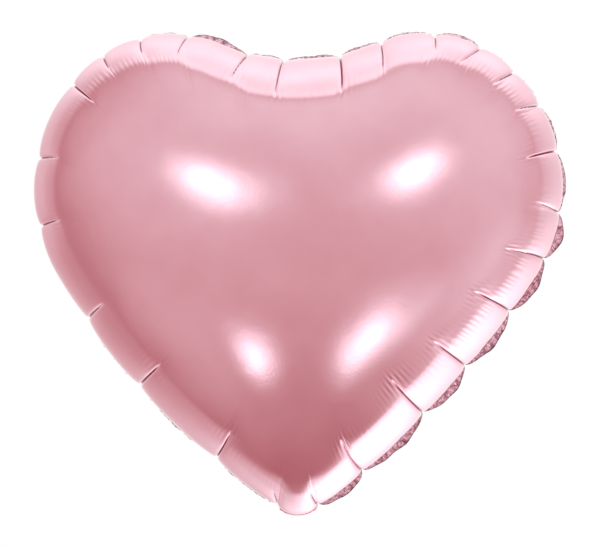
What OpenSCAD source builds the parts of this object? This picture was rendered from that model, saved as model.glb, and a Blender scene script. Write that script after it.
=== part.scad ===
// Heart-shaped foil balloon, inflated: two foil sheets sealed round a pleated rim,
// a flat filling tail folded up behind the tip, and a self-sealing film valve inside.
// Millimetres. +Z is up, the front faces -Y, and the origin is the middle of the neck, at the tip.

/* [Heart] */
// Width of the inflated heart across its seam
heart_w = 377; // [300:1:450]
// Thickness of the inflated balloon, front to back
balloon_depth = 172; // [130:1:200]
// How far the tip is drawn in before the balloon swells to its full thickness
tip_pinch = 14; // [8:1:18]

/* [Rim] */
// How far each pleat cuts into the rim
pleat_depth = 5; // [2:0.5:6]
// How far the foil edge stands out beyond the seam, midway between two pleats
flange_w = 6; // [4:0.5:8]
// How much of that is left at each pleat
flange_at_pleat = 1; // [0.5:0.25:2]
// How far the bonded band reaches in from the seam
bond_w = 2; // [1:0.5:3]

/* [Film] */
// Thickness that stands in for one foil sheet
foil_t = 0.4; // [0.3:0.05:0.6]
// Thickness that stands in for one clear valve film
valve_t = 0.2; // [0.15:0.05:0.25]
// Open channel between the two valve films
channel = 0.2; // [0.1:0.05:0.3]

/* [Tail] */
// Width of the filling tail
tail_w = 26; // [22:1:30]
// Length of the filling tail
tail_len = 64; // [45:1:80]
// Angle of the folded tail, from straight up towards the back
tail_lean = 53; // [52:1:70]
// Width of the welds along the tail's two sides
tail_weld = 3.5; // [2:0.5:4]
// Length of the valve inside the heart
valve_len = 90; // [60:1:110]

/* [Hidden] */

// Every size of the outline follows the heart's width.
k = heart_w / 377;

// The seam's outline is a chain of tangent arcs: tip, side, shoulder, lobe and cleft.
shoulder_c = [70, 233] * k;
shoulder_r = heart_w / 2 - shoulder_c[0];
shoulder_a = 46;
lobe_r = 90 * k;
lobe_c = shoulder_c + (shoulder_r - lobe_r) * [cos(shoulder_a), sin(shoulder_a)];
tip_r = 24 * k;
tip_c = [0, tip_r];

// The side arc runs inside the shoulder's circle and the tip's, and touches both.
side_a = -32;
side_dir = [cos(side_a), sin(side_a)];
tip_to_shoulder = shoulder_c - tip_c;
side_extra = (tip_to_shoulder * tip_to_shoulder - pow(shoulder_r - tip_r, 2))
    / (2 * (shoulder_r - tip_r + tip_to_shoulder * side_dir));
side_r = shoulder_r + side_extra;
side_c = shoulder_c - side_extra * side_dir;
side_start = atan2(tip_c[1] - side_c[1], tip_c[0] - side_c[0]);

// The cleft is a hollow arc between the two lobes, down to this height.
cleft_z = 325 * k;
lobe_above_cleft = cleft_z - lobe_c[1];
cleft_r = (pow(lobe_c[0], 2) + pow(lobe_above_cleft, 2) - pow(lobe_r, 2)) / (2 * (lobe_r - lobe_above_cleft));
cleft_c = [0, cleft_z + cleft_r];
lobe_end = atan2(cleft_c[1] - lobe_c[1], cleft_c[0] - lobe_c[0]);

// Each arc is its centre, radius, first angle and last angle. These make the right half, from the tip up.
ARCS = [
    [tip_c, tip_r, -90, side_start],
    [side_c, side_r, side_start, side_a],
    [shoulder_c, shoulder_r, side_a, shoulder_a],
    [lobe_c, lobe_r, shoulder_a, lobe_end],
    [cleft_c, cleft_r, lobe_end + 180, 270],
];
CLEFT = len(ARCS) - 1;

function sum_to(v, n) = n <= 0 ? 0 : v[n - 1] + sum_to(v, n - 1);
function arc_length(a) = a[1] * abs(a[3] - a[2]) * PI / 180;

ARC_LENGTHS = [for (a = ARCS) arc_length(a)];
half_seam = sum_to(ARC_LENGTHS, len(ARCS));
seam_length = 2 * half_seam;

// Pitches between neighbouring pleats, round the seam from the right of the neck, over the top and back.
pleat_pitches = [
    40, 60, 45, 50, 45, 35, 45, 35, 30, 30, 35, 40, 30,
    40, 25, 45, 35, 30, 30, 60, 50, 75, 60, 75, 55, 35,
];
PLEATS = len(pleat_pitches);
pitch_scale = seam_length / sum_to(pleat_pitches, PLEATS);
first_pleat = 17.5 * k;
pleat_half_w = 2;

// A point of the right half at distance d along it from the tip, and its outward normal.
function half_angle(d, i) = ARCS[i][2] + (ARCS[i][3] - ARCS[i][2]) * d / ARC_LENGTHS[i];
function half_at(d, i = 0) =
    d <= ARC_LENGTHS[i] || i == CLEFT
        ? let (a = half_angle(min(d, ARC_LENGTHS[i]), i), u = [cos(a), sin(a)])
            [ARCS[i][0] + ARCS[i][1] * u, i == CLEFT ? -u : u]
        : half_at(d - ARC_LENGTHS[i], i + 1);

// The same for the whole seam: [point, normal], with the left half mirrored from the right.
function seam_at(d) =
    d <= half_seam
        ? half_at(d)
        : let (m = half_at(seam_length - d)) [[-m[0][0], m[0][1]], [-m[1][0], m[1][1]]];

// Columns of points: each pitch is cut at these shares, close together beside its pleats.
pitch_shares = [0, 0.09, 0.36, 0.64, 0.91];
COLUMNS = [
    for (i = [0 : PLEATS - 1], f = pitch_shares)
        let (start = first_pleat + pitch_scale * sum_to(pleat_pitches, i), pitch = pitch_scale * pleat_pitches[i])
            [(start + f * pitch) % seam_length, f * pitch, (1 - f) * pitch, f]
];
// A pleat is a narrow tuck, and the film between two pleats bulges out in a shallow arch.
function pleat_cut(c) =
    pleat_depth * (0.5 * exp(-min(c[1], c[2]) / pleat_half_w) + 0.5 * pow(abs(2 * c[3] - 1), 3));
function petal(c) = flange_at_pleat + (flange_w - flange_at_pleat) * 4 * c[3] * (1 - c[3]) + pleat_cut(c) * 0.2;

SEAM = [for (c = COLUMNS) seam_at(c[0])];
N = len(COLUMNS);

// The panel's surface: rings run from the crown to the seam, each a shrunken outline at its own depth.
crown = [0, 205] * k;
rings = [0.22, 0.42, 0.6, 0.75, 0.86, 0.94, 0.985, 1];
PLEATED_FROM = 0.86;
half_depth = balloon_depth / 2;
crown_rise = 1 + tip_pinch / crown[1];

function pinch(p) = norm(p) / (norm(p) + tip_pinch);
function swell(s) = sqrt(max(0, 1 - s * s));
function ring_point(j, s, inset) =
    let (
        cut = s < PLEATED_FROM ? 0 : pleat_cut(COLUMNS[j]) * (s - PLEATED_FROM) / (1 - PLEATED_FROM),
        edge = SEAM[j][0] - (cut + inset) * SEAM[j][1],
        p = crown + s * (edge - crown)
    )
    [p[0], foil_t + (half_depth - foil_t - inset) * crown_rise * swell(s) * pinch(p), p[1]];
function sheet_points(inset) = [
    [crown[0], foil_t + (half_depth - foil_t - inset) * crown_rise * pinch(crown), crown[1]],
    for (s = rings, j = [0 : N - 1]) ring_point(j, s, inset),
];

// Faces of a capped stack of rings: the outer sheet, the inner sheet turned over, and the rim between them.
SHEET = 1 + len(rings) * N;
function fan(at) = [for (j = [0 : N - 1]) [at, at + 1 + (j + 1) % N, at + 1 + j]];
function bands(at) = [
    for (r = [0 : len(rings) - 2], j = [0 : N - 1])
        let (a = at + 1 + r * N + j, b = at + 1 + r * N + (j + 1) % N)
            each [[a, b, b + N], [a, b + N, a + N]]
];
function turned(faces) = [for (f = faces) [f[2], f[1], f[0]]];
function rim() = [
    for (j = [0 : N - 1])
        let (a = 1 + (len(rings) - 1) * N + j, b = 1 + (len(rings) - 1) * N + (j + 1) % N)
            each [[a, b, b + SHEET], [a, b + SHEET, a + SHEET]]
];

// One foil sheet blown into a dome, as a thin shell behind the plane of the seam.
module dome() {
    polyhedron(
        points = concat(sheet_points(0), sheet_points(foil_t)),
        faces = concat(fan(0), bands(0), turned(fan(SHEET)), turned(bands(SHEET)), rim()),
        convexity = 6
    );
}

module front_panel() {
    color("pink") mirror([0, 1, 0]) dome();
}

module back_panel() {
    color("pink") dome();
}

// The flat foil edge of one sheet, scalloped from pleat to pleat and open at the neck.
module seam_flange() {
    neck = tail_w / 2 + 1.5;
    open_at = [for (j = [0 : N - 1]) if (COLUMNS[j][0] > neck && COLUMNS[j][0] < seam_length - neck) j];
    outer = [for (j = open_at) SEAM[j][0] + (petal(COLUMNS[j]) - pleat_cut(COLUMNS[j])) * SEAM[j][1]];
    inner = [for (j = open_at) SEAM[j][0] - (bond_w + pleat_cut(COLUMNS[j])) * SEAM[j][1]];
    last = len(open_at) - 1;
    rotate([90, 0, 0])
        linear_extrude(foil_t)
            polygon(concat(outer, [for (i = [0 : last]) inner[last - i]]));
}

module front_seam_flange() {
    color("palevioletred") seam_flange();
}

module back_seam_flange() {
    color("palevioletred") translate([0, foil_t, 0]) seam_flange();
}

// The valve is a flat channel between two clear films, as wide as the tail leaves between its welds.
valve_w = tail_w - 2 * tail_weld - 0.4;
film_in = channel / 2;
film_out = film_in + valve_t;
lip_from = 6;
neck_from = -0.4;

// A flat film between two heights, in front of the middle plane (side -1) or behind it (side 1).
module film(side, width, from, to, near, thick) {
    translate([-width / 2, side > 0 ? near : -near - thick, from])
        cube([width, thick, to - from]);
}

module valve_neck_front() {
    color("whitesmoke") film(-1, valve_w, neck_from, lip_from - 0.5, film_in, valve_t);
}

module valve_neck_back() {
    color("whitesmoke") film(1, valve_w, neck_from, lip_from - 0.5, film_in, valve_t);
}

module valve_lip_front() {
    color("whitesmoke") film(-1, valve_w, lip_from, lip_from + valve_len, film_in, valve_t);
}

module valve_lip_back() {
    color("whitesmoke") film(1, valve_w, lip_from, lip_from + valve_len, film_in, valve_t);
}

// The tail is drawn hanging straight down from its hinge, then folded up behind.
hinge_z = -1.5;
tail_from = film_out + foil_t + 0.05;
module folded() {
    translate([0, 0, hinge_z]) rotate([180 - tail_lean, 0, 0]) children();
}

// One outer film of the tail: a flat strip whose two sides come in to meet the other film's.
module tail_outer(side) {
    film(side, tail_w, -tail_len, -tail_from, film_out, foil_t);
    for (x = [-1, 1])
        translate([x * (tail_w - tail_weld) / 2, 0, 0])
            film(side, tail_weld, -tail_len, -tail_from, 0, film_out);
}

module tail_front_film() {
    color("pink") folded() tail_outer(-1);
}

module tail_back_film() {
    color("pink") folded() tail_outer(1);
}

module tail_valve_front() {
    color("whitesmoke") folded() film(-1, valve_w, 1 - tail_len, -tail_from, film_in, valve_t);
}

module tail_valve_back() {
    color("whitesmoke") folded() film(1, valve_w, 1 - tail_len, -tail_from, film_in, valve_t);
}

front_panel();
back_panel();
front_seam_flange();
back_seam_flange();
valve_neck_front();
valve_neck_back();
valve_lip_front();
valve_lip_back();
tail_front_film();
tail_back_film();
tail_valve_front();
tail_valve_back();
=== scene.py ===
import math

import bpy
import numpy as np
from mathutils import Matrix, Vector


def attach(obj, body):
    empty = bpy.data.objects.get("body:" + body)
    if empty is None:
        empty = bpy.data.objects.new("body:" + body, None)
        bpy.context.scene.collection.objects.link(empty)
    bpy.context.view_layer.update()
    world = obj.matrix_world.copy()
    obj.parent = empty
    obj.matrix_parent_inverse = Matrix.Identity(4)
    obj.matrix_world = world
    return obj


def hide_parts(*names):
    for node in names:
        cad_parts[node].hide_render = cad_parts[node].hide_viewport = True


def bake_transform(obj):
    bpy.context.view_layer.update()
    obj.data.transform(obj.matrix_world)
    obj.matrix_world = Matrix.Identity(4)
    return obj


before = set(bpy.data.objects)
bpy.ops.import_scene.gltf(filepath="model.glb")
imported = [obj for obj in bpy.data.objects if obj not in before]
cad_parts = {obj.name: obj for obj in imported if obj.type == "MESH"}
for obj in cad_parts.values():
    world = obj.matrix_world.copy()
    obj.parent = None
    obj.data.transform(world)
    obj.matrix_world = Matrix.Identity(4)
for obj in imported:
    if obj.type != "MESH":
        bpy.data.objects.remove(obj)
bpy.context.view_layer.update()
MM = 0.001

# ---------------------------------------------------------------- the seam's outline

# In millimetres; a centre is x and z. A is an angle in degrees, from the right, anticlockwise.

HALF_WIDTH = 188.5
SHOULDER_C, SHOULDER_A = np.array([70.0, 233.0]), 46.0
SHOULDER_R = HALF_WIDTH - SHOULDER_C[0]
LOBE_R, TIP_R, SIDE_A, CLEFT_Z = 90.0, 24.0, -32.0, 325.0
HALF_DEPTH = 86.0
CROWN = np.array([0.0, 190.0])

# The inflated shape comes from line sources this far outside the seam. Its formula is in units
# of UNIT, and is fitted to zero at SEAM_POINTS places on the seam.
SOURCE_OUT, SOURCES, SEAM_POINTS, UNIT = 34.0, 240, 900, 100.0
# Near the tip, where the tail folds, the back panel lies flatter: about half as high as the
# front one at TIP_PINCH from the tip, and nearly as high at TIP_PINCH_REACH.
TIP_PINCH, TIP_PINCH_REACH = 10.0, 60.0


def polar(a):
    return np.array([math.cos(math.radians(a)), math.sin(math.radians(a))])


def outline_arcs():
    """Tangent arcs of the right half, tip first: centre, radius, first and last angle, side."""
    lobe_c = SHOULDER_C + (SHOULDER_R - LOBE_R) * polar(SHOULDER_A)
    tip_c = np.array([0.0, TIP_R])
    side_dir = polar(SIDE_A)
    v = SHOULDER_C - tip_c
    extra = (v @ v - (SHOULDER_R - TIP_R) ** 2) / (2 * (SHOULDER_R - TIP_R + v @ side_dir))
    side_r, side_c = SHOULDER_R + extra, SHOULDER_C - extra * side_dir
    start = math.degrees(math.atan2(tip_c[1] - side_c[1], tip_c[0] - side_c[0]))
    up = CLEFT_Z - lobe_c[1]
    cleft_r = (lobe_c[0] ** 2 + up**2 - LOBE_R**2) / (2 * (LOBE_R - up))
    cleft_c = np.array([0.0, CLEFT_Z + cleft_r])
    end = math.degrees(math.atan2(cleft_c[1] - lobe_c[1], cleft_c[0] - lobe_c[0]))
    return [
        (tip_c, TIP_R, -90.0, start, 1),
        (side_c, side_r, start, SIDE_A, 1),
        (SHOULDER_C, SHOULDER_R, SIDE_A, SHOULDER_A, 1),
        (lobe_c, LOBE_R, SHOULDER_A, end, 1),
        (cleft_c, cleft_r, end + 180, 270.0, -1),
    ]


ARCS = outline_arcs()
LENGTHS = [r * abs(b - a) * math.pi / 180 for c, r, a, b, s in ARCS]
HALF = sum(LENGTHS)
SEAM = 2 * HALF


def seam_at(d):
    """Points and outward normals of the seam at arc lengths d from the tip, right side first."""
    d = np.mod(np.asarray(d, float), SEAM)
    left = d > HALF
    h = np.where(left, SEAM - d, d)
    p, n = np.zeros(d.shape + (2,)), np.zeros(d.shape + (2,))
    at = 0.0
    for (c, r, a, b, sign), length in zip(ARCS, LENGTHS):
        on = (h >= at) & (h <= at + length + 1e-6)
        ang = np.radians(a + (b - a) * (h - at) / length)
        u = np.stack([np.cos(ang), np.sin(ang)], -1)
        p[on], n[on] = (c + r * u)[on], (sign * u)[on]
        at += length
    flip = np.where(left, -1.0, 1.0)
    p[..., 0] *= flip
    n[..., 0] *= flip
    return p, n


# ---------------------------------------------------------------- pleats

# One row per pleat, from the right of the neck, over the top and back. Millimetres and degrees:
# pitch to the next pleat, reach of the crease into the face, its slant, the share of fine
# puckers on the band up to the next pleat, and how far that stretch of foil edge is folded back.
PLEATS = [
    (40, 15, -0.2, 0.0, 5),
    (60, 30, -0.1, 0.3, 5),
    (45, 35, 0.0, 0.5, 5),
    (50, 30, 0.0, 1.0, 10),
    (45, 30, 0.0, 0.9, 0),
    (35, 30, -0.1, 0.4, 5),
    (45, 20, 0.3, 0.4, 50),
    (35, 25, 0.0, 0.6, 60),
    (30, 20, 0.3, 1.0, 75),
    (30, 20, 0.2, 1.0, 80),
    (35, 20, 0.4, 0.6, 50),
    (40, 15, -0.2, 0.3, 60),
    (30, 25, 0.1, 0.5, 45),
    (40, 30, 0.0, 0.6, 40),
    (25, 30, 0.1, 0.7, 60),
    (45, 25, 0.3, 0.5, 25),
    (35, 20, 0.4, 0.5, 70),
    (30, 15, 0.1, 0.6, 80),
    (30, 15, 0.1, 0.9, 80),
    (60, 25, 0.0, 0.3, 85),
    (50, 20, -0.2, 0.1, 85),
    (75, 20, -0.1, 0.1, 80),
    (60, 20, -0.1, 0.1, 70),
    (75, 25, 0.0, 0.1, 65),
    (55, 25, 0.0, 0.2, 65),
    (35, 10, -0.6, 0.0, 70),
]
# Along the seam from the tip: the first pleat, and where the foil edge stops beside the neck.
FIRST_PLEAT, NECK = 17.5, 14.5
SCALE = SEAM / sum(row[0] for row in PLEATS)
PITCH = np.array([row[0] * SCALE for row in PLEATS])
PLEAT_AT = FIRST_PLEAT + np.concatenate([[0.0], np.cumsum(PITCH)[:-1]])
REACH, SLANT, PUCKER, FOLD = (np.array([row[i] for row in PLEATS], float) for i in range(1, 5))

# The rounded band ends where the film's slope has fallen to this, in degrees. It is wider over
# the cleft and narrower up the right side: amount, place along the seam, and spread.
BAND_SLOPE = 42.0
BAND_WIDER, BAND_NARROWER = (7.0, 575.0, 105.0), (4.0, 250.0, 110.0)

# Depth and width of a crease's sharp and soft parts.
CREASE_SHARP, CREASE_SOFT = (1.9, 0.6), (0.7, 2.2)
# The ripples across a crease's inner end: height for a reach of 30, pitch, and spread.
RIPPLE_HEIGHT, RIPPLE_PITCH, RIPPLE_SPREAD = 0.30, 4.0, 6.5
# Midway between two pleats the film stands out by up to ARCH, and ARCH_EASE makes that less
# between close pleats. It fades inwards over ARCH_REACH.
ARCH, ARCH_REACH, ARCH_EASE = 1.7, 20.0, 900.0
PUCKER_DEPTH, PUCKER_PITCH, PUCKER_LENGTH = 0.17, 3.9, 4.2
# The soft ridge where the band meets the face, and the uneven face: lengths and height of waves.
KNUCKLE_HEIGHT, KNUCKLE_LENGTH = 0.8, 8.0
FACE_WAVES, FACE_WAVE_HEIGHT = (55.0, 90.0), 0.10
# How far the heart leans out low on its left and in low on its right. For each side: the place
# along the seam from the tip, and the spread. LEAN_FADE is how far it reaches into the face.
LEAN_OUT, LEAN_LEFT, LEAN_RIGHT, LEAN_FADE = 2.2, (160.0, 75.0), (150.0, 70.0), 45.0

# Rows of the panel: a roll of even turns to ROLL_DEPTH from the rim, then growing steps that end
# just short of the crown.
ROLL_DEPTH, ROLL_ROWS, FACE_ROWS, FACE_GROWTH, FACE_END = 40.0, 41, 27, 1.15, 0.985
# A column leaves the rim square and curves to the crown. Its bend point stands SQUARE_IN from
# the rim, and less within TIP_FADE of the tip.
SQUARE_IN, SQUARE_IN_AT_TIP, TIP_FADE, COLUMN_STEPS = 55.0, 18.0, 75.0, 240
# How far in from the seam the rim stands at the middle plane.
RIM_IN = 1.3


def columns(step=0.95):
    """Arc lengths round the seam: close together beside each pleat, and even between them."""
    near = np.array([0.0, 0.25, 0.55, 0.9, 1.35, 1.9, 2.6, 3.5])
    rows = []
    for at, pitch in zip(PLEAT_AT, PITCH):
        n = max(4, int(round((pitch - 2 * near[-1]) / step)))
        mid = np.linspace(near[-1], pitch - near[-1], n + 1)
        rows.append(at + np.concatenate([near[:-1], mid, pitch - near[-2:0:-1]]))
    d = np.concatenate(rows)
    return np.sort(np.mod(d, SEAM))


def segment(d):
    """For arc lengths d: the stretch's number, the share along it, and how far its pleats are."""
    e = np.mod(np.asarray(d, float) - FIRST_PLEAT, SEAM)
    i = np.clip(np.searchsorted(PLEAT_AT - FIRST_PLEAT, e, side="right") - 1, 0, len(PLEATS) - 1)
    a = e - (PLEAT_AT[i] - FIRST_PLEAT)
    return i, a / PITCH[i], a, PITCH[i] - a


# ---------------------------------------------------------------- the inflated shape


def potential():
    """phi(points): zero on the seam and with Laplacian -1 inside, from line sources outside it."""
    p, _ = seam_at(np.linspace(0, SEAM, SEAM_POINTS, endpoint=False))
    q, m = seam_at(np.linspace(0, SEAM, SOURCES, endpoint=False))
    sources = q + SOURCE_OUT * m

    def basis(x):
        r = np.sqrt(((x[:, None, :] - sources[None]) ** 2).sum(-1))
        return np.concatenate([np.log(r / UNIT), np.ones((len(x), 1))], 1)

    rhs = ((p - CROWN) ** 2).sum(1) / (4 * UNIT**2)
    w = np.linalg.lstsq(basis(p), rhs, rcond=1e-10)[0]

    def phi(x):
        x = x.reshape(-1, 2)
        out = np.empty(len(x))
        for i in range(0, len(x), 20000):
            y = x[i : i + 20000]
            out[i : i + 20000] = basis(y) @ w - ((y - CROWN) ** 2).sum(1) / (4 * UNIT**2)
        return out

    return phi


PHI = potential()
PHI_TOP = PHI(np.array([[0.0, z] for z in range(150, 240, 2)])).max()


def smooth(x, lo, hi):
    t = np.clip((x - lo) / (hi - lo), 0, 1)
    return t * t * (3 - 2 * t)


def height(points, t, side):
    """Height of one panel over the seam's plane. The back one is flatter where the tail folds."""
    y2 = HALF_DEPTH**2 * PHI(points).reshape(points.shape[:-1]) / PHI_TOP
    y = np.sqrt(np.maximum(y2, 0) * (t > 1e-9))
    if side > 0:
        away = np.linalg.norm(points, axis=-1)
        y = y * away / (away + TIP_PINCH * np.exp(-away / TIP_PINCH_REACH))
    return y


def hill(x, middle, spread):
    """1 where x is the middle, and less with the distance from it."""
    return np.exp(-(((x - middle) / spread) ** 2))


def band_widths():
    """Width of the rounded band on each stretch: where the film is steeper than BAND_SLOPE."""
    middle = PLEAT_AT + PITCH / 2
    p, n = seam_at(middle)
    t = np.arange(4.0, 40.0, 0.25)
    y = height(p[:, None] - t[:, None] * n[:, None], np.ones(len(t)), -1)
    steep = np.degrees(np.arctan(np.gradient(y, t, axis=1))) > BAND_SLOPE
    width = t[np.argmin(steep, axis=1)]
    wider, narrower = (row[0] * hill(middle, *row[1:]) for row in (BAND_WIDER, BAND_NARROWER))
    return width + wider - narrower


BAND = band_widths()
WAVES_EACH, CRUSHES = 3, 9


def waves(at, seed, lengths, amount):
    """A smooth uneven surface from a few slanted waves, the same every run."""
    rng = np.random.default_rng(seed)
    out = 0.0
    for length in lengths:
        for _ in range(WAVES_EACH):
            a, ph = rng.uniform(0, 2 * math.pi, 2)
            v = math.cos(a) * at[..., 0] + math.sin(a) * at[..., 1]
            out = out + np.sin(2 * math.pi * v / length + ph)
    return amount * out / (WAVES_EACH * len(lengths)) ** 0.5


def band_width(i, a, b):
    """Width of the rounded band: its own along each stretch, and shared at the pleats."""
    before, after = np.roll(BAND, 1)[i], np.roll(BAND, -1)[i]
    w0, w1 = (0.5 * (1 - smooth(x, 0, 5.0)) for x in (a, b))
    return BAND[i] * (1 - w0 - w1) + before * w0 + after * w1


def creases(d, t):
    """For the pleats on both sides of each column: distance from the crease, and its reach."""
    i, _, a, b = segment(d)
    for side, x0, sign in ((i, a, 1.0), ((i + 1) % len(PLEATS), b, -1.0)):
        yield np.abs(x0 - sign * SLANT[side] * np.minimum(t, REACH[side])), REACH[side]


def tuck(d, t):
    """Mask of the painted crease shade: 1 in the closed fold of a pleat, 0 elsewhere."""
    out = np.zeros_like(t)
    for x, reach in creases(d, t):
        shut = np.clip(3.5 * (1 - t / reach), 0, 1)
        out = np.maximum(out, np.exp(-((x / 0.5) ** 2)) * shut)
    return out


def band_turn(d, width):
    """How much further the film must turn, in radians, for each band to end at the same slope."""
    p, n = seam_at(d)
    low, high = (height(p - (width + e)[:, None] * n, np.ones(len(d)), -1) for e in (-0.5, 0.5))
    return math.radians(BAND_SLOPE) - np.arctan(high - low)


def lean_over(d):
    """The filled heart sits a little fuller low on its left than low on its right."""
    return LEAN_OUT * hill(SEAM - d, *LEAN_LEFT) - LEAN_OUT * hill(d, *LEAN_RIGHT)


def pleat_depth(at, d, t, seed):
    """How far the film is drawn in, along its own normal, at arc length d and t from the rim."""
    rng = np.random.default_rng(seed)
    i, f, a, b = segment(d)
    out = np.zeros_like(t)
    arch = np.minimum(ARCH, PITCH[i] ** 2 / ARCH_EASE)
    out += arch * np.abs(2 * f - 1) ** 2.6 * np.exp(-((t / ARCH_REACH) ** 2))
    for x, reach in creases(d, t):
        cut = sum(depth * np.exp(-x / wide) for depth, wide in (CREASE_SHARP, CREASE_SOFT))
        out += cut * np.clip(1 - t / reach, 0, 1) ** 0.45
        ripple = np.cos(2 * math.pi * x / RIPPLE_PITCH) * np.exp(-x / RIPPLE_SPREAD)
        ripple *= RIPPLE_HEIGHT * (reach / 30.0) ** 2
        out += ripple * hill(t, reach * 0.92, 6.0)
    width = band_width(i, a, b)
    phase = 2 * math.pi * d / PUCKER_PITCH + 1.4 * np.sin(2 * math.pi * d / 23 + rng.uniform(0, 6))
    phase = phase + 0.9 * np.sin(2 * math.pi * d / 13.7)
    row = width - 1.5 + 0.9 * np.sin(2 * math.pi * d / 31 + 1.0)
    out += PUCKER_DEPTH * PUCKER[i] * np.cos(phase) * np.exp(-(((t - row) / PUCKER_LENGTH) ** 2))
    knuckle = np.exp(-(np.sqrt((t - width) ** 2 + 1.0) - 1.0) / KNUCKLE_LENGTH)
    out -= KNUCKLE_HEIGHT * knuckle * smooth(t, 2, 12)
    out -= band_turn(d, width) * (t - width) * np.exp(-(((t - width) / 9.0) ** 2))
    out += waves(at, seed, FACE_WAVES, FACE_WAVE_HEIGHT) * smooth(t, 6, 30)
    return out


def panel_grid(side, seed):
    """Points of one panel: rows from the seam to the crown, columns round the seam."""
    d = columns()
    p, n = seam_at(d)
    roll = ROLL_DEPTH * (1 - np.cos(np.radians(np.linspace(0, 90, ROLL_ROWS))))
    u = np.linspace(0, 1, COLUMN_STEPS)[:, None, None]
    from_tip = np.minimum(d, SEAM - d)
    square = SQUARE_IN - (SQUARE_IN - SQUARE_IN_AT_TIP) * hill(from_tip, 0.0, TIP_FADE)
    bend = p - square[:, None] * n
    path = (1 - u) ** 2 * p[None] + 2 * u * (1 - u) * bend[None] + u**2 * CROWN
    step = np.sqrt((np.diff(path, axis=0) ** 2).sum(-1))
    run = np.concatenate([np.zeros((1, len(d))), np.cumsum(step, 0)])
    share = (np.arange(1, FACE_ROWS + 1) / FACE_ROWS) ** FACE_GROWTH * FACE_END
    face = roll[-1] + share[:, None] * (run[-1] - roll[-1])[None]
    t = np.concatenate([np.repeat(roll[:, None], len(d), 1), face])
    at = np.empty(t.shape + (2,))
    for j in range(len(d)):
        for k in (0, 1):
            at[:, j, k] = np.interp(t[:, j], run[:, j], path[:, j, k])
    y = height(at, t, side)
    pts = np.stack([at[..., 0], side * y, at[..., 1]], -1)
    over = RIM_IN * np.exp(-((y / 6.0) ** 2)) - lean_over(d) * np.exp(-((t / LEAN_FADE) ** 2))
    pts[..., 0] -= over * n[None, :, 0]
    pts[..., 2] -= over * n[None, :, 1]
    along = np.roll(pts, -1, 1) - np.roll(pts, 1, 1)
    across = np.gradient(pts, axis=0)
    across[0] = np.array([0.0, side, 0.0])
    nrm = np.cross(along, across)
    nrm /= np.maximum(np.linalg.norm(nrm, axis=-1, keepdims=True), 1e-9)
    if (nrm[30, :, 1] * side).mean() < 0:
        nrm = -nrm
    nrm[0] = np.stack([n[:, 0], np.zeros(len(d)), n[:, 1]], -1)
    pts = pts - nrm * pleat_depth(at, d, t, seed)[..., None]
    crown = pts[-1].mean(0)
    crown[1] += (pts[-1, :, 1] - pts[-2, :, 1]).mean() * 0.25
    return d, t, pts, crown, n


# ---------------------------------------------------------------- making meshes


def add_mesh(name, verts, faces, attributes=None, smooth_faces=True):
    mesh = bpy.data.meshes.new(name)
    mesh.from_pydata((np.asarray(verts) * MM).tolist(), [], faces)
    mesh.update()
    for key, values in (attributes or {}).items():
        a = mesh.attributes.new(key, "FLOAT", "POINT")
        a.data.foreach_set("value", np.asarray(values, np.float32))
    mesh.polygons.foreach_set("use_smooth", [smooth_faces] * len(mesh.polygons))
    obj = bpy.data.objects.new(name, mesh)
    bpy.context.scene.collection.objects.link(obj)
    return obj


def grid_faces(rows_n, cols_n, closed, flip, start=0):
    """Quads of a grid of rows_n by cols_n points, closed round the columns or open."""
    c = np.arange(cols_n if closed else cols_n - 1)
    r = np.arange(rows_n - 1)[:, None]
    a = start + r * cols_n + c
    b = start + r * cols_n + (c + 1) % cols_n
    quads = np.stack([a, b, b + cols_n, a + cols_n], -1).reshape(-1, 4)
    return (quads[:, ::-1] if flip else quads).tolist()


def shell_faces(rn, cn, flip):
    """Faces of a thin closed shell made of two grids of rn by cn points, one after the other."""
    faces = grid_faces(rn, cn, False, not flip) + grid_faces(rn, cn, False, flip, rn * cn)
    ring = (
        [(0, j) for j in range(cn)]
        + [(k, cn - 1) for k in range(1, rn)]
        + [(rn - 1, j) for j in range(cn - 2, -1, -1)]
        + [(k, 0) for k in range(rn - 2, 0, -1)]
    )
    at = [k * cn + j for k, j in ring]
    for p, q in zip(at, at[1:] + at[:1]):
        quad = [p, q, q + rn * cn, p + rn * cn]
        faces.append(quad[::-1] if flip else quad)
    return faces


def panel(name, side, seed):
    d, t, pts, crown, n = panel_grid(side, seed)
    rn, cn = t.shape
    faces = grid_faces(rn, cn, True, side > 0)
    last = (rn - 1) * cn
    top = rn * cn
    for j in range(cn):
        tri = [last + j, last + (j + 1) % cn, top]
        faces.append(tri[::-1] if side > 0 else tri)
    verts = np.concatenate([pts.reshape(-1, 3), crown[None]])
    # The mask of the painted crease shade, with none at the crown.
    shut = np.concatenate([tuck(d, t).ravel(), [0.0]])
    obj = add_mesh(name, verts, faces, {"tuck": shut})
    return obj, d, pts[0], n


# The foil edge: its width at a pleat, how much wider it is midway, how much more again where it
# is folded back by less than FOLDED_BACK degrees, and its thickness.
EDGE_AT_PLEAT, EDGE_MIDWAY, EDGE_UPRIGHT, FOLDED_BACK, EDGE_THICK = 0.8, 3.7, 1.6, 20, 0.13


def crinkle(s, r, seed, amount):
    """Sharp little creases of crushed foil over the strip's own two lengths s and r."""
    rng = np.random.default_rng(seed)
    out = 0.0
    for _ in range(CRUSHES):
        a = rng.uniform(-0.7, 0.7)
        length = rng.uniform(2.2, 6.5)
        ph = rng.uniform(0, 2 * math.pi)
        v = (math.cos(a) * s + math.sin(a) * r) / length + ph
        out = out + (np.abs((v % 1.0) * 2 - 1) - 0.5) * length / 4
    return amount * out / CRUSHES**0.5


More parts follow.
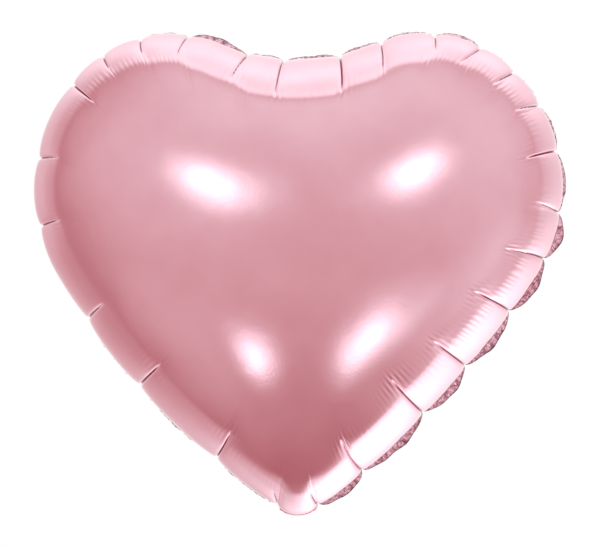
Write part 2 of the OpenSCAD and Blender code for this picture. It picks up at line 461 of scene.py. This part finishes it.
def flange(name, side, d, edge, n):
    """The crushed foil edge outside the weld: one film, scalloped and folded back."""
    keep = (d > NECK) & (d < SEAM - NECK)
    d, edge, n = d[keep], edge[keep], n[keep]
    i, f, a, b = segment(d)
    r = np.linspace(-0.12, 1, 10)[:, None]
    ragged = 0.84 + 0.12 * np.sin(d / 7.0) + 0.08 * np.sin(d / 2.9 + 1.0)
    midway = EDGE_MIDWAY + EDGE_UPRIGHT * (FOLD[i] < FOLDED_BACK)
    width = EDGE_AT_PLEAT + midway * np.clip(4 * f * (1 - f), 0, 1) ** 0.8 * ragged
    before, after = np.roll(FOLD, 1)[i], np.roll(FOLD, -1)[i]
    w0 = np.clip(1 - a / 6.0, 0, 1) * 0.5
    w1 = np.clip(1 - b / 6.0, 0, 1) * 0.5
    fold = np.radians(FOLD[i] * (1 - w0 - w1) + before * w0 + after * w1)
    lift = np.minimum(1.0, np.maximum(r, 0) * 2.2)
    ang = fold[None] * lift
    out_dir = np.stack([n[:, 0], np.zeros(len(d)), n[:, 1]], -1)
    back = np.array([0.0, 1.0, 0.0])
    reach = r * width[None]
    pts = edge[None] + reach[..., None] * (
        np.cos(ang)[..., None] * out_dir[None] + np.sin(ang)[..., None] * back
    )
    nrm = -np.sin(ang)[..., None] * out_dir[None] + np.cos(ang)[..., None] * back
    crushed = crinkle(d[None], reach, 11, 0.55) + crinkle(d[None] * 0.5, reach, 5, 0.45)
    crushed = crushed * np.clip(r * 3.0, 0, 1)
    pts = pts + nrm * crushed[..., None]
    outer = pts + nrm * (side * EDGE_THICK)
    rn, cn = crushed.shape
    verts = np.concatenate([pts.reshape(-1, 3), outer.reshape(-1, 3)])
    faces = shell_faces(rn, cn, side < 0)
    # Share across the edge from the weld out; it places the edge's painted shade.
    share = np.repeat(np.repeat(np.maximum(r, 0), cn, 1)[None], 2, 0).ravel()
    return add_mesh(name, verts, faces, {"edge": share}, False)


# ---------------------------------------------------------------- the filling tail

# In millimetres. LEAN is the folded tail's angle from straight up, in degrees.
TAIL_W, TAIL_LEN, TAIL_WELD, LEAN, HINGE_Z = 26.0, 64.0, 3.5, 53.0, -1.5
# A film's two faces are given by their distances from the middle of the tail.
VALVE_W, VALVE_IN, VALVE_OUT = 18.6, 0.1, 0.3
FOIL_IN, FOIL_OUT = 0.36, 0.64
# Heights where the neck's foil and its valve films end, and where the fold starts. The fold
# ends at FOLD_TO along the tail.
NECK_TOP, VALVE_TOP, FOLD_FROM, FOLD_TO = 4.4, 4.1, 3.2, 6.2
# Points along the neck, the fold and the flat tail, and across the width.
NECK_POINTS, FOLD_POINTS, TAIL_POINTS, ACROSS = 7, 19, 59, 53


def tail_path():
    """The middle line in the plane of symmetry: down the neck, round the fold, and up behind."""
    lean = math.radians(LEAN)
    up_back = np.array([math.sin(lean), math.cos(lean)])
    hinge = np.array([0.0, HINGE_Z])
    neck = [np.array([0.0, z]) for z in np.linspace(NECK_TOP, FOLD_FROM, NECK_POINTS + 1)[:-1]]
    first, last = np.array([0.0, FOLD_FROM]), hinge + FOLD_TO * up_back
    turn = np.linspace(0, 1, FOLD_POINTS)
    fold = [(1 - u) ** 2 * first + 2 * u * (1 - u) * hinge + u * u * last for u in turn]
    flat = [hinge + r * up_back for r in np.linspace(FOLD_TO, TAIL_LEN, TAIL_POINTS + 1)[1:]]
    path = np.array(neck + fold + flat)
    tangent = np.gradient(path, axis=0)
    tangent /= np.linalg.norm(tangent, axis=1, keepdims=True)
    normal = np.stack([-tangent[:, 1], tangent[:, 0]], 1)
    run = np.concatenate([[0.0], np.cumsum(np.linalg.norm(np.diff(path, axis=0), axis=1))])
    return path, normal, run - run[NECK_POINTS]


def film(name, side, width, near, far, skip=0, from_z=NECK_TOP):
    """One film of the neck and tail, between two distances from the middle line on one side.

    Past the fold it swells a little and waves, and its heat-sealed sides are shut and ribbed.
    """
    path, normal, run = tail_path()
    keep = (path[:, 1] <= from_z + 1e-6) | (run > 0)
    keep[len(keep) - skip :] = False
    path, normal, run = path[keep], normal[keep], run[keep]
    x = np.linspace(-1, 1, ACROSS) * width / 2
    s, xx = run[:, None], x[None, :]
    weld = smooth(TAIL_W / 2 - np.abs(xx), TAIL_WELD - 1.2, TAIL_WELD + 0.1)
    out = smooth(s, 6.0, 14.0)
    spread = 1 + out * weld * (0.35 + 0.9 * smooth(s, TAIL_LEN - 12, TAIL_LEN + 3))
    wave = 0.35 * np.sin(s / 9.0 + xx / 11.0) + 0.2 * np.sin(s / 4.1 - xx / 5.0 + 1.0)
    weld_ribs = 0.10 * (1 - weld) * np.sin(s * 5.2) * out
    shift = out * wave * smooth(TAIL_LEN + 4 - s, 0, 30) + weld_ribs
    cup = (TIP_R - np.sqrt(TIP_R**2 - xx**2)) * (1 - smooth(np.abs(s - 2.0), 3.0, 9.0))
    layers = []
    for gap in (near, far):
        closed = max(0.02, gap - FOIL_IN + 0.02) if far > VALVE_OUT else gap
        off = side * (gap * spread * weld + closed * (1 - weld)) + shift
        y = path[:, 0:1] + normal[:, 0:1] * off
        z = path[:, 1:2] + normal[:, 1:2] * off + cup
        layers.append(np.stack([xx + 0 * y, y, z], -1))
    rn, cn = layers[0].shape[:2]
    verts = np.concatenate([layers[0].reshape(-1, 3), layers[1].reshape(-1, 3)])
    faces = shell_faces(rn, cn, side > 0)
    edge = np.repeat(np.repeat(1 - weld, rn, 0)[None], 2, 0).ravel()
    return add_mesh(name, verts, faces, {"edge": 0.35 * edge})


# ---------------------------------------------------------------- materials


def node_material(name):
    m = bpy.data.materials.new(name)
    m.use_nodes = True
    tree = m.node_tree
    tree.nodes.clear()
    out = tree.nodes.new("ShaderNodeOutputMaterial")
    shader = tree.nodes.new("ShaderNodeBsdfPrincipled")
    tree.links.new(shader.outputs[0], out.inputs[0])
    return m, tree, shader


def noise(tree, scale, detail, rough=0.5):
    n = tree.nodes.new("ShaderNodeTexNoise")
    n.inputs["Scale"].default_value = scale
    n.inputs["Detail"].default_value = detail
    n.inputs["Roughness"].default_value = rough
    tree.links.new(tree.nodes.new("ShaderNodeTexCoord").outputs["Object"], n.inputs["Vector"])
    return n.outputs["Fac"]


def ramp(tree, value, stops):
    r = tree.nodes.new("ShaderNodeValToRGB")
    while len(r.color_ramp.elements) < len(stops):
        r.color_ramp.elements.new(0.5)
    for e, (at, colour) in zip(r.color_ramp.elements, stops):
        e.position = at
        e.color = (*colour, 1.0)
    tree.links.new(value, r.inputs["Fac"])
    return r.outputs["Color"]


def map_range(tree, value, lo, hi, to_lo, to_hi, kind="LINEAR"):
    m = tree.nodes.new("ShaderNodeMapRange")
    m.interpolation_type = kind
    for key, v in zip(("From Min", "From Max", "To Min", "To Max"), (lo, hi, to_lo, to_hi)):
        m.inputs[key].default_value = v
    tree.links.new(value, m.inputs["Value"])
    return m.outputs["Result"]


def bump(tree, value, strength, distance, normal=None):
    b = tree.nodes.new("ShaderNodeBump")
    b.inputs["Strength"].default_value = strength
    b.inputs["Distance"].default_value = distance
    tree.links.new(value, b.inputs["Height"])
    if normal is not None:
        tree.links.new(normal, b.inputs["Normal"])
    return b.outputs["Normal"]


# The colour sockets of a mix node, by number because several share a name.
MIX_A, MIX_B, MIX_RESULT = 6, 7, 2
PINK = (0.87, 0.53, 0.605)
PINK_DEEP = (0.84, 0.49, 0.565)
# Painted shade: the near-black maroon painted into the closed folds of the pleats.
PAINTED_CREASE_SHADE = (0.12, 0.03, 0.045)


def attribute(tree, name):
    n = tree.nodes.new("ShaderNodeAttribute")
    n.attribute_name = name
    return n.outputs["Fac"]


def foil_material():
    m, tree, s = node_material("foil_satin_pink")
    s.inputs["Metallic"].default_value = 1.0
    tint = ramp(tree, noise(tree, 26.0, 3.0), [(0.35, PINK_DEEP), (0.65, PINK)])
    mix = tree.nodes.new("ShaderNodeMix")
    mix.data_type = "RGBA"
    # Painted shade: the colour goes near-black maroon in the closed folds of the pleats.
    shade = map_range(tree, attribute(tree, "tuck"), 0.25, 0.8, 0, 0.9)
    tree.links.new(shade, mix.inputs["Factor"])
    tree.links.new(tint, mix.inputs[MIX_A])
    mix.inputs[MIX_B].default_value = (*PAINTED_CREASE_SHADE, 1.0)
    tree.links.new(mix.outputs[MIX_RESULT], s.inputs["Base Color"])
    rough = map_range(tree, noise(tree, 60.0, 4.0), 0.3, 0.7, 0.115, 0.15)
    tree.links.new(rough, s.inputs["Roughness"])
    grain = bump(tree, noise(tree, 420.0, 3.0), 0.04, 0.0005)
    soft = bump(tree, noise(tree, 30.0, 2.0), 0.08, 0.002, grain)
    tree.links.new(soft, s.inputs["Normal"])
    return m


def edge_material():
    m, tree, s = node_material("foil_edge_crinkled")
    s.inputs["Metallic"].default_value = 1.0
    # Painted shade: dark where the edge leaves the weld, and near-black along its outer border.
    edge_pink_and_painted_shade = ramp(
        tree,
        attribute(tree, "edge"),
        [
            (0.0, (0.30, 0.10, 0.15)),
            (0.12, (0.90, 0.62, 0.70)),
            (0.84, (0.80, 0.48, 0.57)),
            (0.97, (0.06, 0.015, 0.025)),
        ],
    )
    mix = tree.nodes.new("ShaderNodeMix")
    mix.data_type = "RGBA"
    mix.blend_type = "MULTIPLY"
    mix.inputs["Factor"].default_value = 1.0
    tree.links.new(edge_pink_and_painted_shade, mix.inputs[MIX_A])
    stops = [(0.40, (0.40, 0.28, 0.33)), (0.56, (1.0, 1.0, 1.0))]
    patches = ramp(tree, noise(tree, 330.0, 3.0, 0.7), stops)
    tree.links.new(patches, mix.inputs[MIX_B])
    tree.links.new(mix.outputs[MIX_RESULT], s.inputs["Base Color"])
    rough = map_range(tree, noise(tree, 300.0, 3.0), 0.3, 0.7, 0.10, 0.24)
    tree.links.new(rough, s.inputs["Roughness"])
    tree.links.new(bump(tree, noise(tree, 480.0, 2.0), 0.9, 0.0012), s.inputs["Normal"])
    return m


def tail_material():
    """The panels' film, duller and finely ribbed along its two heat-sealed sides."""
    m, tree, s = node_material("foil_tail_pink")
    s.inputs["Metallic"].default_value = 1.0
    tint = ramp(tree, noise(tree, 26.0, 3.0), [(0.35, PINK_DEEP), (0.65, PINK)])
    tree.links.new(tint, s.inputs["Base Color"])
    sealed = attribute(tree, "edge")
    tree.links.new(map_range(tree, sealed, 0.05, 0.30, 0.13, 0.24), s.inputs["Roughness"])
    ribs = tree.nodes.new("ShaderNodeTexWave")
    ribs.inputs["Scale"].default_value = 260.0
    ribs.inputs["Distortion"].default_value = 1.5
    tree.links.new(tree.nodes.new("ShaderNodeTexCoord").outputs["Object"], ribs.inputs["Vector"])
    height_of_ribs = tree.nodes.new("ShaderNodeMath")
    height_of_ribs.operation = "MULTIPLY"
    tree.links.new(ribs.outputs["Fac"], height_of_ribs.inputs[0])
    tree.links.new(sealed, height_of_ribs.inputs[1])
    soft = bump(tree, noise(tree, 60.0, 2.0), 0.06, 0.001)
    tree.links.new(bump(tree, height_of_ribs.outputs[0], 0.25, 0.0004, soft), s.inputs["Normal"])
    return m


def film_material():
    m, tree, s = node_material("clear_valve_film")
    s.inputs["IOR"].default_value = 1.5
    s.inputs["Alpha"].default_value = 0.45
    stops = [(0.4, (0.90, 0.92, 0.94)), (0.6, (0.95, 0.96, 0.97))]
    tint = ramp(tree, noise(tree, 90.0, 2.0), stops)
    tree.links.new(tint, s.inputs["Base Color"])
    rough = map_range(tree, noise(tree, 240.0, 3.0), 0.3, 0.7, 0.08, 0.2)
    tree.links.new(rough, s.inputs["Roughness"])
    tree.links.new(bump(tree, noise(tree, 260.0, 2.0), 0.2, 0.0005), s.inputs["Normal"])
    return m


def floor_material():
    m, tree, s = node_material("pale_floor")
    stops = [(0.3, (0.86, 0.86, 0.86)), (0.7, (0.90, 0.90, 0.90))]
    tint = ramp(tree, noise(tree, 3.0, 4.0), stops)
    tree.links.new(tint, s.inputs["Base Color"])
    s.inputs["Roughness"].default_value = 0.7
    return m


# ---------------------------------------------------------------- the balloon

foil, edge_foil = foil_material(), edge_material()
tail_foil, clear = tail_material(), film_material()

FRONT_SEED, BACK_SEED = 3, 8
front, seam_d, seam_edge, seam_n = panel("front_foil_panel", -1, FRONT_SEED)
back, _, _, _ = panel("back_foil_panel", 1, BACK_SEED)
for obj, node in ((front, "front_panel"), (back, "back_panel")):
    obj.data.materials.append(foil)
    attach(obj, "balloon")
    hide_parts(node)

for name, side, node in (
    ("front_foil_edge", -1, "front_seam_flange"),
    ("back_foil_edge", 1, "back_seam_flange"),
):
    obj = flange(name, side, seam_d, seam_edge, seam_n)
    obj.data.materials.append(edge_foil)
    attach(obj, "balloon")
    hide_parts(node)

for name, side, nodes in (
    ("tail_foil_front", -1, ["tail_front_film"]),
    ("tail_foil_back", 1, ["tail_back_film"]),
    ("valve_film_front", -1, ["valve_neck_front", "tail_valve_front"]),
    ("valve_film_back", 1, ["valve_neck_back", "tail_valve_back"]),
):
    if "foil" in name:
        obj = film(name, side, TAIL_W, FOIL_IN, FOIL_OUT)
        obj.data.materials.append(tail_foil)
    else:
        obj = film(name, side, VALVE_W, VALVE_IN, VALVE_OUT, 1, VALVE_TOP)
        obj.data.materials.append(clear)
    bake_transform(obj)
    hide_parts(*nodes)

for node in ("valve_lip_front", "valve_lip_back"):
    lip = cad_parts[node]
    if lip.material_slots:
        lip.material_slots[0].material = clear
    else:
        lip.data.materials.append(clear)

# ---------------------------------------------------------------- floor, camera and light

FLOOR_Z, FLOOR_R, FLOOR_SIDES = -0.36, 1.3, 96


def make_floor():
    turns = [2 * math.pi * k / FLOOR_SIDES for k in range(FLOOR_SIDES)]
    ring = [(FLOOR_R * math.cos(a), FLOOR_R * math.sin(a), 0) for a in turns]
    mesh = bpy.data.meshes.new("floor")
    mesh.from_pydata(ring, [], [list(range(FLOOR_SIDES))])
    obj = bpy.data.objects.new("floor", mesh)
    obj.location = (0, 0, FLOOR_Z)
    obj.data.materials.append(floor_material())
    obj.visible_glossy = False
    bpy.context.scene.collection.objects.link(obj)


make_floor()

# How much the camera sees across at its aim, where it aims, and from how far, in metres. It
# stands YAW degrees to the right of straight in front. SENSOR is in millimetres.
FRAME_WIDTH = 0.4255
AIM = Vector((0.0011, 0.0, 0.1726))
DISTANCE, YAW, SENSOR = 2.4, 2.0, 36.0


def make_camera():
    data = bpy.data.cameras.new("camera")
    data.sensor_width = SENSOR
    data.lens = SENSOR * DISTANCE / FRAME_WIDTH
    cam = bpy.data.objects.new("camera", data)
    yaw = math.radians(YAW)
    direction = Vector((math.sin(yaw), -math.cos(yaw), 0.0))
    cam.location = AIM + DISTANCE * direction
    cam.rotation_euler = (-direction).to_track_quat("-Z", "Y").to_euler()
    bpy.context.scene.collection.objects.link(cam)
    bpy.context.scene.camera = cam


make_camera()


# The studio, as the foil mirrors it. A soft panel has an azimuth (0 is the camera's side, 90 the
# right), an elevation, a spread and a brightness. In front is a dim pink room with four round
# soft boxes, two above and two below the camera. Behind is a pale sweep.
ROOM_BASE, SWEEP_BASE = 0.12, 0.35
ROOM = {
    "upper_left_box": (-18, 18, 5, 2.0),
    "upper_right_box": (23, 19, 5, 2.0),
    "lower_left_box": (-18, -32, 4, 2.0),
    "lower_right_box": (26, -30, 5.5, 2.0),
    "ceiling": (5, 65, 20, 0.55),
    "left_wall": (-45, 20, 30, 0.55),
    "right_wall": (60, 25, 25, 0.6),
    "far_wall": (20, -10, 40, 0.35),
    "left_floor": (-50, -35, 15, 0.25),
    "right_floor": (70, -25, 15, 0.5),
    "low_reflector": (40, -30, 5, 0.5),
}
SWEEP = {
    "middle": (-175, 0, 20, 0.7),
    "left": (-120, 0, 15, 0.35),
    "right": (130, -10, 40, 0.4),
    "low_left": (-145, -55, 15, 0.5),
    "low_right": (125, -55, 24, 1.7),
    "high_left": (-140, 45, 20, 0.7),
    "high_right": (135, 55, 25, 1.0),
    "top": (-140, 80, 15, 0.5),
}
# Over this stretch of the direction's y, from front to back, the room gives way to the sweep.
SWEEP_FROM, SWEEP_TO = -0.25, -0.10
# Red and blue follow the level as factor * level ** power, so that dim light is pinker.
RED_CURVE, BLUE_CURVE = (0.98, 0.46), (0.96, 0.93)


class Nodes:
    """Short ways to chain math nodes in one tree."""

    def __init__(self, tree):
        self.tree = tree

    def math(self, kind, a, b=0.0):
        n = self.tree.nodes.new("ShaderNodeMath")
        n.operation = kind
        for k, v in enumerate((a, b)):
            if isinstance(v, (int, float)):
                n.inputs[k].default_value = v
            else:
                self.tree.links.new(v, n.inputs[k])
        return n.outputs[0]

    def curve(self, level, factor, power):
        """factor * level ** power, but never under the level itself."""
        bent = self.math("MULTIPLY", self.math("POWER", level, power), factor)
        return self.math("MAXIMUM", bent, level)

    def lobe(self, coord, azimuth, elevation, spread, brightness):
        a, e = math.radians(azimuth), math.radians(elevation)
        n = self.tree.nodes.new("ShaderNodeVectorMath")
        n.operation = "DOT_PRODUCT"
        toward = (math.sin(a) * math.cos(e), -math.cos(a) * math.cos(e), math.sin(e))
        n.inputs[1].default_value = toward
        self.tree.links.new(coord, n.inputs[0])
        sharp = 1 / math.radians(spread) ** 2
        power = self.math("MULTIPLY", self.math("SUBTRACT", n.outputs["Value"], 1.0), sharp)
        return self.math("MULTIPLY", self.math("EXPONENT", power), brightness)

    def panels(self, coord, base, lobes):
        total = base
        for lobe in lobes:
            total = self.math("ADD", self.lobe(coord, *lobe), total)
        return total


def make_world():
    """Soft light by direction, pinker where it is dim, and a plain white backdrop."""
    world = bpy.data.worlds.new("studio")
    world.use_nodes = True
    tree = world.node_tree
    tree.nodes.clear()
    k = Nodes(tree)
    out = tree.nodes.new("ShaderNodeOutputWorld")
    coord = tree.nodes.new("ShaderNodeTexCoord").outputs["Generated"]
    xyz = tree.nodes.new("ShaderNodeSeparateXYZ")
    tree.links.new(coord, xyz.inputs[0])
    behind = map_range(tree, xyz.outputs["Y"], SWEEP_FROM, SWEEP_TO, 0, 1, "SMOOTHSTEP")
    in_front = k.math("SUBTRACT", 1.0, behind)
    room = k.math("MULTIPLY", k.panels(coord, ROOM_BASE, ROOM.values()), in_front)
    sweep = k.math("MULTIPLY", k.panels(coord, SWEEP_BASE, SWEEP.values()), behind)
    level = k.math("ADD", room, sweep)
    colour = tree.nodes.new("ShaderNodeCombineColor")
    red, blue = (k.curve(level, *row) for row in (RED_CURVE, BLUE_CURVE))
    for socket, value in zip(colour.inputs, (red, level, blue)):
        tree.links.new(value, socket)
    lit = tree.nodes.new("ShaderNodeBackground")
    tree.links.new(colour.outputs[0], lit.inputs["Color"])
    white = tree.nodes.new("ShaderNodeBackground")
    white.inputs["Color"].default_value = (1, 1, 1, 1)
    ray = tree.nodes.new("ShaderNodeLightPath")
    pick = tree.nodes.new("ShaderNodeMixShader")
    tree.links.new(ray.outputs["Is Camera Ray"], pick.inputs["Fac"])
    tree.links.new(lit.outputs[0], pick.inputs[1])
    tree.links.new(white.outputs[0], pick.inputs[2])
    tree.links.new(pick.outputs[0], out.inputs["Surface"])
    bpy.context.scene.world = world


make_world()
bpy.context.scene.view_settings.view_transform = "Standard"
